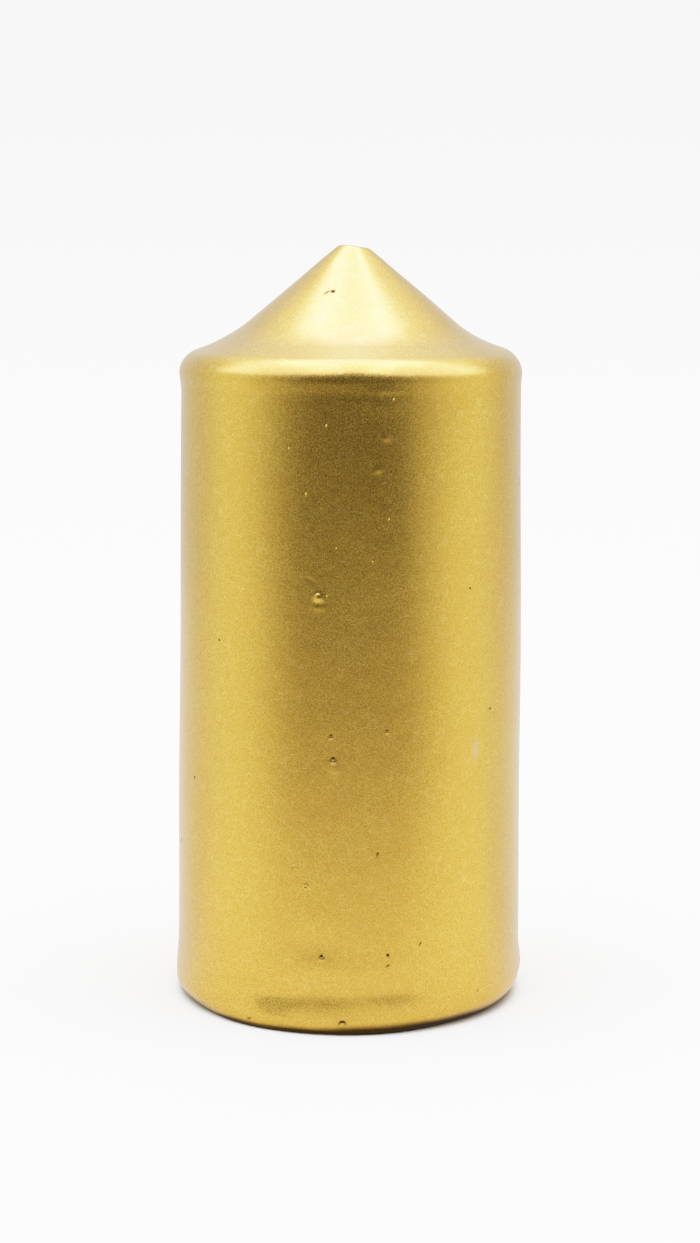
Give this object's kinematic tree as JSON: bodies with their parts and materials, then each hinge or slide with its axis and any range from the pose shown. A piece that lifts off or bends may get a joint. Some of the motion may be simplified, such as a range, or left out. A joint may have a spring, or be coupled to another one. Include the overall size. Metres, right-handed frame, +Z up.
{
  "type": "pillar candle",
  "caption": "Round pillar candle with a conical top, dipped and finished in metallic gold lacquer, with its wick ending in a short lacquered stub at the tip.",
  "frame": {"origin": "centre of the foot, on the surface that the candle stands on", "axes": "+Z up along the candle's axis; -Y is the front; the tip's flat leans down towards +X"},
  "size_m": [0.0704, 0.0704, 0.15],
  "materials": {
    "gold_lacquer": "satin",
    "dip_wax": "satin",
    "core_wax": "satin",
    "wick_cotton": "matte",
    "clip_tinplate": "satin"
  },
  "bodies": {
    "root": {"lacquer_coat": "gold_lacquer", "dip_coat": "dip_wax", "wax_core": "core_wax", "wick": "wick_cotton", "wick_clip": "clip_tinplate"}
  },
  "joints": []
}
